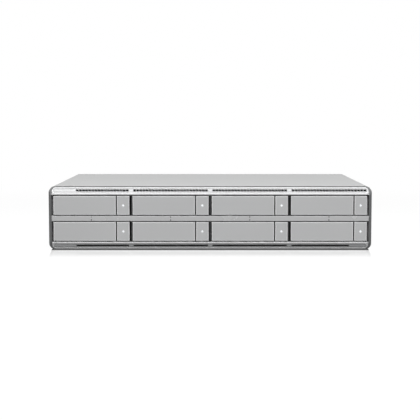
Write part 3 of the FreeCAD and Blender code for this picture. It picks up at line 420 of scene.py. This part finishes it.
class Finish:
    """A material whose Principled shader is fed by the shared groups, smudged by handling."""

    def __init__(self, name, dullness, metallic=0.0):
        self.material = bpy.data.materials.new(name)
        self.material.use_nodes = True
        self.tree = self.material.node_tree
        self.sockets = self.tree.nodes["Principled BSDF"].inputs
        self.relief = None
        smudge = self.group("handling", dullness=dullness)
        self.feed(metallic=metallic, roughness=smudge["Roughness"])

    def feed(self, **values):
        """Set or link the shader's sockets by their names."""
        for title, value in values.items():
            feed(self.tree, value, self.sockets[title.replace("_", " ").title()])

    def group(self, title, **values):
        """The outputs of a shared group, placed here with values of its own."""
        node = self.tree.nodes.new("ShaderNodeGroup")
        node.node_tree = bpy.data.node_groups[title]
        for name, value in values.items():
            feed(self.tree, value, node.inputs[name.replace("_", " ").capitalize()])
        return node.outputs

    def base(self):
        """The output that gives the shader its colour so far."""
        return self.sockets["Base Color"].links[0].from_socket

    def toned(self, tint, tone):
        """A colour multiplied by a tone that varies over the surface."""
        node = add_node(self.tree, "VectorMath", operation="SCALE")
        node.inputs[0].default_value = tint
        feed(self.tree, tone, node.inputs["Scale"])
        return node.outputs["Vector"]

    def blend(self, mask, first, second):
        """The first colour where the mask is 0 and the second where it is 1."""
        node = add_node(self.tree, "Mix", data_type="RGBA", factor=mask)
        feed(self.tree, first, node.inputs[MIX_FIRST])
        feed(self.tree, second, node.inputs[MIX_SECOND])
        return node.outputs[MIX_RESULT]

    def raise_grain(self, height, depth):
        """Give the surface a fine relief."""
        self.relief = add_node(self.tree, "Bump", strength=0.35, distance=depth)
        feed(self.tree, height, self.relief.inputs["Height"])
        self.feed(normal=self.relief.outputs["Normal"])

    def rub_edges(self, tint, reach, rounded=True):
        """Give the edges another tone, mostly a painted highlight, and, where asked, round them off."""
        edge = self.group("rubbed edge", reach=reach)
        self.feed(base_color=self.blend(edge["Mask"], self.base(), opaque(tint)))
        if rounded:
            feed(self.tree, edge["Normal"], self.relief.inputs["Normal"])

    def show_under(self, under, wrap, deepest):
        """Show the colour under the finish where spray from the front didn't reach; where it is black it is partly
        bare moulding and partly painted shade in the gaps and recesses.
        """
        spray = self.group("paint reach", wrap=wrap, deepest=deepest)
        self.feed(base_color=self.blend(spray["Mask"], opaque(under), self.base()))


def sprayed(name, tint, grains, dullness, metallic=0.0, depth=0.00002, spread=0.05):
    """A sprayed or moulded finish with its fine grain."""
    finish = Finish(name, dullness, metallic)
    grain = finish.group("sprayed grain", grains_per_metre=grains, tone_spread=spread)
    finish.feed(base_color=finish.toned(tint, grain["Tone"]))
    finish.raise_grain(grain["Height"], depth)
    return finish


def fascia_paint(name, look, spray):
    """The fascia's silver, with rounder edges where the two strips meet the trays, a painted highlight along its
    edges, and black deep in its gaps, partly bare moulding and partly painted shade.
    """
    finish = sprayed(name, look.fascia_silver, grains=2600.0, dullness=0.26, metallic=SILVER)
    tree = finish.tree
    rail = rail_height()
    land_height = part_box("tray_1_lever")[1].z - rail + spray.land
    fade_end = 1.5 * spray.land
    off_rail = worked_out(tree, "SUBTRACT", split(tree, own_point(tree))["Z"], rail)
    off_land = worked_out(tree, "SUBTRACT", worked_out(tree, "ABSOLUTE", off_rail), land_height)
    rounding = mapped(tree, worked_out(tree, "ABSOLUTE", off_land), spray.land, fade_end,
                      low=spray.land_rounding, high=spray.fascia_rounding)
    # Painted highlight: a paler silver along the fascia's edges, widest beside the trays
    finish.rub_edges(look.edge_soft, rounding)
    # Black deep in the fascia's gaps: partly bare moulding, partly painted shade
    finish.show_under(look.moulding_black, spray.wrap, spray.fascia_deepest)
    return finish


def band_paint(name, tint, look, spray, dullness):
    """A slotted band's silver, darker along the slots' edges and black inside them, partly bare moulding and
    partly painted shade.
    """
    finish = sprayed(name, tint, grains=2600.0, dullness=dullness, metallic=SILVER)
    # A darker grey along the slots' edges and on the thin bars between them
    finish.rub_edges(look.edge_thin, spray.slot_rub)
    # Black inside the slots: partly bare moulding, partly painted shade
    finish.show_under(look.moulding_black, wrap=0.0, deepest=spray.deepest)
    return finish


def tray_paint(name, look, spray):
    """The silver of levers and buttons, with a painted highlight along their edges and black in the gaps beside
    them, partly bare moulding and partly painted shade.
    """
    finish = sprayed(name, look.tray_silver, grains=2200.0, dullness=0.4, metallic=SILVER)
    # Painted highlight: a paler silver along the edges of levers and buttons
    finish.rub_edges(look.edge_bright, spray.tray_rub, rounded=False)
    # Black in the gaps beside the trays: partly bare moulding, partly painted shade
    finish.show_under(look.moulding_black, spray.wrap, spray.deepest)
    return finish


def rim_paint(name, look, spray):
    """The rim's dark grey, painted shade that is paler along its edges and ends a little way back on its sides,
    where the cover paint shows.
    """
    # Painted shade: the rim's front is dark grey
    finish = sprayed(name, look.rim_grey, grains=2200.0, dullness=0.4, metallic=0.2)
    # Paler grey of the painted shade along the rim's edges
    finish.rub_edges(look.rim_edge, spray.rim_rub)
    finish.show_under(look.cover_paint, spray.rim_wrap, spray.deepest)
    return finish


def plated_sheet(name, tint, dullness):
    """Zinc-plated steel with its crystal pattern."""
    finish = Finish(name, dullness, metallic=0.85)
    crystals = add_node(finish.tree, "TexVoronoi", vector=own_point(finish.tree), scale=160.0)
    tone = mapped(finish.tree, crystals.outputs["Color"], 0.0, 1.0, low=0.82, high=1.1)
    finish.feed(base_color=finish.toned(tint, tone))
    return finish


def circuit_board(name, tint):
    """Solder mask over copper tracks."""
    finish = Finish(name, dullness=0.32)
    tracks = add_node(finish.tree, "TexBrick", vector=own_point(finish.tree), scale=90.0,
                      mortar_size=0.06, color1=grey(0.85), color2=grey(1.0), mortar=grey(1.7))
    finish.feed(base_color=finish.toned(tint, tracks.outputs["Color"]))
    return finish


def shielded_socket(name, look, spray):
    """The network socket: a plated shield that is a dark moulding behind its mouth."""
    finish = sprayed(name, look.plated_metal, grains=1800.0, dullness=0.3)
    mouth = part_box("network_jack")[1].y
    depth = split(finish.tree, own_point(finish.tree))["Y"]
    inside = worked_out(finish.tree, "LESS_THAN", depth, mouth - spray.shield_lip)
    finish.feed(metallic=mapped(finish.tree, inside, 0.0, 1.0, low=PLATED, high=0.0),
                base_color=finish.blend(inside, finish.base(), opaque(look.moulding_black)))
    return finish


def lamp_lens(name, look, spray):
    """Clear moulding that glows at its front end."""
    finish = sprayed(name, look.pipe_clear, grains=900.0, dullness=0.2, spread=0.02)
    depth = split(finish.tree, own_point(finish.tree))["Y"]
    front = mapped(finish.tree, depth, FRONT + spray.glow_start, FRONT + spray.glow_full)
    finish.feed(emission_color=finish.toned(look.status_light, front),
                emission_strength=look.status_glow)
    return finish


class RECORDER_OT_finishes(bpy.types.Operator):
    """Give every CAD node the material of its slot"""

    bl_idname = "recorder.finishes"
    bl_label = "Finishes"

    def execute(self, context):
        look = context.scene.recorder_finish
        spray = context.scene.recorder_spray
        grain_group()
        handling_group()
        rubbed_edge_group()
        paint_reach_group()
        made = {
            "case_silver": sprayed("case powder coat", look.cover_paint, grains=1100.0, dullness=0.5,
                                   depth=0.00005, spread=0.04),
            "fascia_silver": fascia_paint("fascia silver", look, spray),
            "band_light": band_paint("upper band silver", look.band_light, look, spray, dullness=0.3),
            # The lower band's darker grey is partly painted shade
            "band_grey": band_paint("lower band silver", look.band_grey, look, spray, dullness=0.4),
            "tray_silver": tray_paint("tray silver", look, spray),
            "rim_grey": rim_paint("rim dark grey", look, spray),
            "sled_dark": sprayed("sled black paint", look.sled_black, grains=1400.0, dullness=0.5),
            "drive_cast": sprayed("drive casting", look.drive_metal, grains=700.0, dullness=0.45,
                                  metallic=0.8, depth=0.00006),
            "cage_steel": plated_sheet("cage zinc", look.cage_zinc, dullness=0.42),
            "board_green": circuit_board("board green", look.board_green),
            "plastic_black": sprayed("black moulding", look.moulding_black, grains=1600.0,
                                     dullness=0.48),
            "light_clear": lamp_lens("status light", look, spray),
            "sink_aluminium": sprayed("heat sink metal", look.plated_metal, grains=900.0,
                                      dullness=0.35, metallic=PLATED),
            "supply_metal": plated_sheet("supply plating", look.plated_metal, dullness=0.35),
            "port_metal": sprayed("port plating", look.plated_metal, grains=1800.0, dullness=0.28,
                                  metallic=PLATED),
        }
        own = {"network_jack": shielded_socket("network socket", look, spray)}
        for slot, nodes in slot_nodes().items():
            for node in nodes:
                materials = NODES[node].data.materials
                materials.clear()
                materials.append(own.get(node, made[slot]).material)
        return {"FINISHED"}


def deselect():
    """Leave nothing selected."""
    bpy.ops.object.select_all(action="DESELECT")


def select(*objects):
    """Select these objects alone, the first of them active."""
    deselect()
    for item in objects:
        item.select_set(True)
    bpy.context.view_layer.objects.active = objects[0]


def apply_place():
    """Put the selected objects' place, turn and scale into their meshes."""
    bpy.ops.object.transform_apply(location=True, rotation=True, scale=True)


def settle(item, name, body, material):
    """Name a finished piece, put its place into its mesh and let it ride on a body."""
    select(item)
    apply_place()
    item.name = name
    item.data.name = name
    item.data.materials.clear()
    item.data.materials.append(material)
    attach(item, body)


def joined(objects):
    """Several objects made one."""
    select(*objects)
    bpy.ops.object.join()
    return bpy.context.active_object


def standing(point, direction):
    """The place of a copy that stands on a point with its +Z along a direction."""
    turn = Vector(direction).to_track_quat("Z", "Y").to_matrix().to_4x4()
    return Matrix.Translation(point) @ turn


def copy_at(source, spot):
    """A copy with a mesh of its own, at a place."""
    item = source.copy()
    item.data = source.data.copy()
    bpy.context.collection.objects.link(item)
    item.matrix_world = spot
    return item


def copies_at(source, spots):
    """One mesh of copies, one at each place."""
    return joined([copy_at(source, spot) for spot in spots])


def choose(item, kind, wanted):
    """Go into edit mode with only the wanted edges or polygons selected."""
    bpy.ops.object.mode_set(mode="EDIT")
    bpy.ops.mesh.select_all(action="DESELECT")
    bpy.ops.object.mode_set(mode="OBJECT")
    for element in getattr(item.data, kind):
        element.select = wanted(element)
    bpy.ops.object.mode_set(mode="EDIT")


def choose_end(item, direction):
    """In edit mode, select the faces that point in a direction and lie furthest along it."""
    hair = 1e-6
    same_way = 0.9
    furthest = max(direction.dot(vertex.co) for vertex in item.data.vertices)

    def at_end(face):
        points_there = direction.dot(face.normal) > same_way
        return points_there and direction.dot(face.center) > furthest - hair

    choose(item, "polygons", at_end)


def round_off(item, direction, level, rounding, segments):
    """Round off the edges that lie past a level along a direction."""
    def past_level(edge):
        return all(direction.dot(item.data.vertices[end].co) > level for end in edge.vertices)

    choose(item, "edges", past_level)
    bpy.ops.mesh.bevel(offset=rounding, segments=segments, affect="EDGES")
    bpy.ops.object.mode_set(mode="OBJECT")


def light_pipe(sizes, node):
    """A round light pipe in the box of a CAD node, with a rounded front end."""
    low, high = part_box(node)
    deselect()
    bpy.ops.mesh.primitive_cylinder_add(vertices=sizes.pipe_sides, radius=(high.x - low.x) / 2,
                                        depth=high.y - low.y, location=middle(node), rotation=UP_TO_FRONT)
    pipe = bpy.context.active_object
    apply_place()
    round_off(pipe, FORWARDS, FORWARDS.dot(middle(node)), sizes.pipe_round, segments=4)
    bpy.ops.object.shade_smooth_by_angle(angle=SMOOTH_ANGLE)
    return pipe


class RECORDER_OT_light_pipes(bpy.types.Operator):
    """Model the trays' round light pipes with their rounded front ends"""

    bl_idname = "recorder.light_pipes"
    bl_label = "Light pipes"

    def execute(self, context):
        nodes = {tray: f"tray_{tray}_light_pipe" for tray in TRAYS}
        first = nodes[TRAYS[0]]
        source = light_pipe(context.scene.recorder_fittings, first)
        for tray, node in nodes.items():
            pipe = copy_at(source, Matrix.Translation(middle(node) - middle(first)))
            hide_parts(node)
            settle(pipe, f"tray_{tray}_light", f"tray_{tray}", bpy.data.materials["status light"])
        bpy.data.objects.remove(source)
        return {"FINISHED"}


class RECORDER_OT_bay_numbers(bpy.types.Operator):
    """Print the bay numbers on the rail between the two rows of trays"""

    bl_idname = "recorder.bay_numbers"
    bl_label = "Bay numbers"

    def execute(self, context):
        sizes = context.scene.recorder_fittings
        look = context.scene.recorder_finish
        digit_share = 0.7
        prints = []
        for tray in TRAYS:
            side = 1 if tray <= COLUMNS else -1
            deselect()
            bpy.ops.object.text_add(rotation=UP_TO_FRONT)
            text = context.active_object
            text.data.body = str(tray)
            text.data.align_x = "CENTER"
            text.data.align_y = "CENTER"
            text.data.size = sizes.number_height / digit_share
            text.data.extrude = sizes.ink_thickness / 2
            text.data.offset = sizes.ink_spread
            text.location = (middle(f"tray_{tray}_sled").x, FRONT,
                             rail_height() + side * sizes.number_spread / 2)
            bpy.ops.object.convert(target="MESH")
            apply_place()
            prints.append(context.active_object)
        ink = sprayed("number ink", look.ink, grains=3000.0, dullness=0.55)
        settle(joined(prints), "bay_numbers", "chassis", ink.material)
        return {"FINISHED"}


def screw_head(radius, height):
    """A low domed screw head with a cross recess, standing on z = 0."""
    recess_size = (1.1 * radius, 0.24 * radius, 0.9 * height)
    dome = 0.6 * height
    sides = 20
    deselect()
    bpy.ops.mesh.primitive_cylinder_add(vertices=sides, radius=radius, depth=height,
                                        location=(0.0, 0.0, height / 2))
    head = bpy.context.active_object
    apply_place()
    round_off(head, UPWARDS, height / 2, dome, segments=3)
    for turn in (0.0, math.pi / 2):
        bpy.ops.mesh.primitive_cube_add(size=1.0, location=(0.0, 0.0, height),
                                        rotation=(0.0, 0.0, turn), scale=recess_size)
        cutter = bpy.context.active_object
        select(head)
        recess = head.modifiers.new("recess", "BOOLEAN")
        recess.operation = "DIFFERENCE"
        recess.object = cutter
        bpy.ops.object.modifier_apply(modifier=recess.name)
        bpy.data.objects.remove(cutter)
    select(head)
    bpy.ops.object.shade_smooth_by_angle(angle=SMOOTH_ANGLE)
    return head


def skirt_spots(sizes):
    """Where the cover's screws stand: three on the skirt of each side."""
    low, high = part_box("top_cover")
    centre = middle("top_cover")
    runs = (low.y + sizes.skirt_screw_margin, centre.y, high.y - sizes.skirt_screw_margin)
    return [standing((x, y, centre.z), (side, 0.0, 0.0))
            for x, side in ((low.x, -1.0), (high.x, 1.0)) for y in runs]


def fan_spots(sizes):
    """Where the fans' screws stand on the rear panel: four round each fan."""
    panel_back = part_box("rear_panel")[1].y
    reach = sizes.fan_screw_spacing / 2
    hubs = [fan_hub(fan) for fan in FANS]
    return [standing((hub.x + x * reach, panel_back, hub.z + z * reach), BACKWARDS)
            for hub in hubs for x in (-1, 1) for z in (-1, 1)]


class RECORDER_OT_case_screws(bpy.types.Operator):
    """Put the screws into the cover's skirts and round the fans"""

    bl_idname = "recorder.case_screws"
    bl_label = "Case screws"

    def execute(self, context):
        sizes = context.scene.recorder_fittings
        look = context.scene.recorder_finish
        steel = sprayed("screw plating", look.plated_metal, grains=2400.0, dullness=0.3,
                        metallic=PLATED)
        head = screw_head(sizes.screw_radius, sizes.screw_height)
        for name, spots in (("cover_screws", skirt_spots(sizes)), ("fan_screws", fan_spots(sizes))):
            settle(copies_at(head, spots), name, "chassis", steel.material)
        bpy.data.objects.remove(head)
        return {"FINISHED"}


def socket_contact(sizes):
    """One bent contact in the middle of the network socket, from its roof inwards and down."""
    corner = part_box("network_jack")[1]
    deselect()
    bpy.ops.mesh.primitive_cube_add(
        size=1.0, scale=(sizes.contact_width, sizes.contact_flat, sizes.contact_thickness),
        location=(middle("network_jack").x, corner.y - sizes.contact_depth,
                  corner.z - sizes.contact_wall))
    wire = bpy.context.active_object
    apply_place()
    for run, fall in ((sizes.contact_slope, sizes.contact_fall),
                      (sizes.contact_flat, sizes.contact_tip_fall)):
        choose_end(wire, FORWARDS)
        bpy.ops.mesh.extrude_region_move(TRANSFORM_OT_translate={"value": (0.0, -run, -fall)})
        bpy.ops.object.mode_set(mode="OBJECT")
    return wire


def inlet_pin(sizes):
    """The plated blade of a pin in the middle of the inlet, with a chamfered end."""
    inlet = middle("power_inlet")
    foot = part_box("power_inlet")[1].y - sizes.pin_depth
    cover = 2 * sizes.plating
    deselect()
    bpy.ops.mesh.primitive_cube_add(
        size=1.0, scale=(sizes.pin_width + cover, sizes.pin_length, sizes.pin_height + cover),
        location=(inlet.x, foot + sizes.pin_length / 2 + sizes.plating, inlet.z))
    blade = bpy.context.active_object
    apply_place()
    choose_end(blade, BACKWARDS)
    bpy.ops.mesh.bevel(offset=sizes.plating, segments=1, affect="EDGES")
    bpy.ops.object.mode_set(mode="OBJECT")
    return blade


class RECORDER_OT_port_metal(bpy.types.Operator):
    """Model the network socket's contacts and the metal of the inlet's pins"""

    bl_idname = "recorder.port_metal"
    bl_label = "Port metal"

    def execute(self, context):
        sizes = context.scene.recorder_fittings
        look = context.scene.recorder_finish
        gold = sprayed("contact gold", look.contact_gold, grains=2600.0, dullness=0.25, metallic=0.6)
        wire = socket_contact(sizes)
        steps = [number - (CONTACTS - 1) / 2 for number in range(CONTACTS)]
        row = [Matrix.Translation((step * sizes.contact_pitch, 0.0, 0.0)) for step in steps]
        settle(copies_at(wire, row), "jack_contacts", "chassis", gold.material)
        blade = inlet_pin(sizes)
        triangle = ((-1, -1), (0, 1), (1, -1))
        pins = [Matrix.Translation((x * sizes.pin_spread, 0.0, z * sizes.pin_drop)) for x, z in triangle]
        settle(copies_at(blade, pins), "inlet_pins", "chassis", bpy.data.materials["port plating"])
        for source in (wire, blade):
            bpy.data.objects.remove(source)
        return {"FINISHED"}


class RECORDER_OT_lid_screws(bpy.types.Operator):
    """Put the lid screws on the drives"""

    bl_idname = "recorder.lid_screws"
    bl_label = "Lid screws"

    def execute(self, context):
        sizes = context.scene.recorder_fittings
        look = context.scene.recorder_finish
        steel = sprayed("lid screw plating", look.screw_dark, grains=2400.0, dullness=0.3,
                        metallic=PLATED)
        margin = sizes.lid_screw_margin
        head = screw_head(sizes.lid_screw_radius, sizes.lid_screw_height)
        for tray in TRAYS:
            low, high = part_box(f"tray_{tray}_drive")
            spots = [standing((x, y, high.z - sizes.lid_drop), UPWARDS)
                     for x in (low.x + margin, high.x - margin)
                     for y in (low.y + margin, (low.y + high.y) / 2, high.y - margin)]
            settle(copies_at(head, spots), f"tray_{tray}_lid_screws", f"tray_{tray}", steel.material)
        bpy.data.objects.remove(head)
        return {"FINISHED"}


def seen_rays(tree):
    """1 on rays from the camera, off metal and through glass, else 0."""
    path = add_node(tree, "LightPath").outputs
    straight_or_glossy = worked_out(tree, "MAXIMUM", path["Is Camera Ray"], path["Is Glossy Ray"])
    return worked_out(tree, "MAXIMUM", straight_or_glossy, path["Is Transmission Ray"])


def outside_footprint(tree, point):
    """How far a point of the floor lies outside the object's footprint."""
    centre = (CAD_LOW + CAD_HIGH) / 2
    half = (CAD_HIGH - CAD_LOW) / 2
    off_centre = on_vectors(tree, "SUBTRACT", point, (centre.x, centre.y, 0.0))
    either_side = on_vectors(tree, "ABSOLUTE", off_centre)
    past_edge = on_vectors(tree, "SUBTRACT", either_side, (half.x, half.y, 0.0))
    return on_vectors(tree, "LENGTH", on_vectors(tree, "MAXIMUM", past_edge, (0.0, 0.0, 0.0)))


def tinted(tree, kind, tone, **values):
    """A shader of a kind in a grey tone."""
    node = add_node(tree, kind, **values)
    node.inputs["Color"].default_value = grey(tone)
    return node.outputs[0]


def mixed(tree, factor, first, second):
    """The first shader where the factor is 0 and the second where it is 1."""
    node = add_node(tree, "MixShader", fac=factor)
    tree.links.new(first, node.inputs[1])
    tree.links.new(second, node.inputs[2])
    return node.outputs[0]


def studio_floor(stage):
    """A white floor that keeps, near the object, its shadow and a reflection that soon fades."""
    material = bpy.data.materials.new("studio floor")
    material.use_nodes = True
    tree = material.node_tree
    tree.nodes.clear()
    point = own_point(tree)
    gap = outside_footprint(tree, point)
    fades = [mapped(tree, gap, reach, 0.0, high=strength, interpolation="SMOOTHSTEP")
             for reach, strength in ((stage.reflection_reach, stage.reflection),
                                     (stage.contact_reach, stage.contact))]
    near = mapped(tree, on_vectors(tree, "LENGTH", point), stage.shade_end, stage.shade_reach,
                  interpolation="SMOOTHSTEP")
    lit = add_node(tree, "AddShader")
    tree.links.new(tinted(tree, "BsdfDiffuse", stage.floor_shade), lit.inputs[0])
    tree.links.new(tinted(tree, "Emission", WHITE, strength=stage.floor_glow), lit.inputs[1])
    ground = mixed(tree, near, tinted(tree, "Emission", WHITE, strength=1.0), lit.outputs[0])
    straight = add_node(tree, "LightPath").outputs["Is Camera Ray"]
    shine = worked_out(tree, "MULTIPLY", worked_out(tree, "MAXIMUM", *fades), straight)
    mirror = tinted(tree, "BsdfGlossy", WHITE, roughness=stage.reflection_blur)
    shown = mixed(tree, shine, ground, mirror)
    plain = tinted(tree, "BsdfDiffuse", stage.floor_tone)
    made = add_node(tree, "OutputMaterial")
    tree.links.new(mixed(tree, seen_rays(tree), plain, shown), made.inputs["Surface"])
    return material


def studio_world(sky):
    """Even light, and white where the camera, metal or glass looks past the floor."""
    world = bpy.data.worlds.new("studio")
    bpy.context.scene.world = world
    world.use_nodes = True
    tree = world.node_tree
    tree.nodes.clear()
    light = tinted(tree, "Background", WHITE, strength=sky)
    white = tinted(tree, "Background", WHITE, strength=1.0)
    made = add_node(tree, "OutputWorld")
    tree.links.new(mixed(tree, seen_rays(tree), light, white), made.inputs["Surface"])


def lamp(name, spot, target, watts, width, height):
    """A soft rectangular lamp at a place, turned to a target."""
    light = bpy.data.lights.new(name, "AREA")
    light.shape = "RECTANGLE"
    light.size = width
    light.size_y = height
    light.energy = watts
    item = bpy.data.objects.new(name, light)
    bpy.context.collection.objects.link(item)
    item.location = spot
    item.rotation_euler = (Vector(target) - Vector(spot)).to_track_quat("-Z", "Y").to_euler()
    return item


class RECORDER_OT_stage(bpy.types.Operator):
    """Set up the floor, the lamps and the camera"""

    bl_idname = "recorder.stage"
    bl_label = "Stage"

    def floor(self, context, stage):
        """The floor that the object stands on."""
        deselect()
        bpy.ops.mesh.primitive_plane_add(size=stage.floor_size, location=(0.0, 0.0, CAD_LOW.z))
        floor = context.active_object
        floor.name = "floor"
        floor.data.materials.append(studio_floor(stage))

    def lamps(self, stage):
        """Two lamps above the front, and two low ones behind, hidden from camera and reflections."""
        centre = (0.0, 0.0, CAD_HIGH.z / 2)
        lamp("key lamp", stage.key_place, centre, stage.key_power, stage.key_width, stage.key_height)
        lamp("fill lamp", stage.fill_place, centre, stage.fill_power, stage.fill_width,
             stage.fill_height)
        for word, side in (("left", -1.0), ("right", 1.0)):
            spot = (side * stage.back_side, stage.back_distance, CAD_HIGH.z / 2)
            back = lamp(f"{word} back lamp", spot, centre, stage.back_power, stage.back_width,
                        CAD_HIGH.z)
            back.visible_camera = False
            back.visible_glossy = False

    def camera(self, context, stage):
        """The camera in front of the object, tilted down a little."""
        view = bpy.data.cameras.new("camera")
        view.sensor_width = FILM_WIDTH_MM
        view.lens = stage.lens
        camera = bpy.data.objects.new("camera", view)
        context.collection.objects.link(camera)
        camera.location = (stage.camera_side, FRONT - stage.camera_distance,
                           CAD_LOW.z + stage.camera_height)
        camera.rotation_euler = (math.pi / 2 - stage.camera_pitch, 0.0, 0.0)
        context.scene.camera = camera

    def execute(self, context):
        stage = context.scene.recorder_stage
        context.scene.view_settings.view_transform = "Standard"
        self.floor(context, stage)
        studio_world(stage.sky)
        self.lamps(stage)
        self.camera(context, stage)
        return {"FINISHED"}


class RECORDER_PT_panel(bpy.types.Panel):
    """The steps that dress the recorder, with the values they use"""

    bl_idname = "RECORDER_PT_panel"
    bl_label = "Video recorder"
    bl_space_type = "VIEW_3D"
    bl_region_type = "UI"
    bl_category = "Recorder"

    def draw(self, context):
        for step in STEPS:
            self.layout.operator(step.bl_idname)
        for title, group in GROUPS.items():
            column = self.layout.column()
            for name in group.__annotations__:
                column.prop(getattr(context.scene, title), name)


GROUPS = {
    "recorder_finish": RecorderFinish,
    "recorder_spray": RecorderSpray,
    "recorder_fittings": RecorderFittings,
    "recorder_stage": RecorderStage,
}
STEPS = (
    RECORDER_OT_finishes,
    RECORDER_OT_light_pipes,
    RECORDER_OT_bay_numbers,
    RECORDER_OT_case_screws,
    RECORDER_OT_port_metal,
    RECORDER_OT_lid_screws,
    RECORDER_OT_stage,
)
CLASSES = (*GROUPS.values(), *STEPS, RECORDER_PT_panel)


def register():
    """Make the classes and the scene's settings known."""
    for item in CLASSES:
        bpy.utils.register_class(item)
    for title, group in GROUPS.items():
        setattr(bpy.types.Scene, title, bpy.props.PointerProperty(type=group))


def unregister():
    """Take the settings and the classes away again."""
    for title in GROUPS:
        delattr(bpy.types.Scene, title)
    for item in reversed(CLASSES):
        bpy.utils.unregister_class(item)


def main():
    """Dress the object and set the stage."""
    register()
    bpy.ops.recorder.finishes()
    bpy.ops.recorder.light_pipes()
    bpy.ops.recorder.bay_numbers()
    bpy.ops.recorder.case_screws()
    bpy.ops.recorder.port_metal()
    bpy.ops.recorder.lid_screws()
    bpy.ops.recorder.stage()


if __name__ == "__main__":
    main()
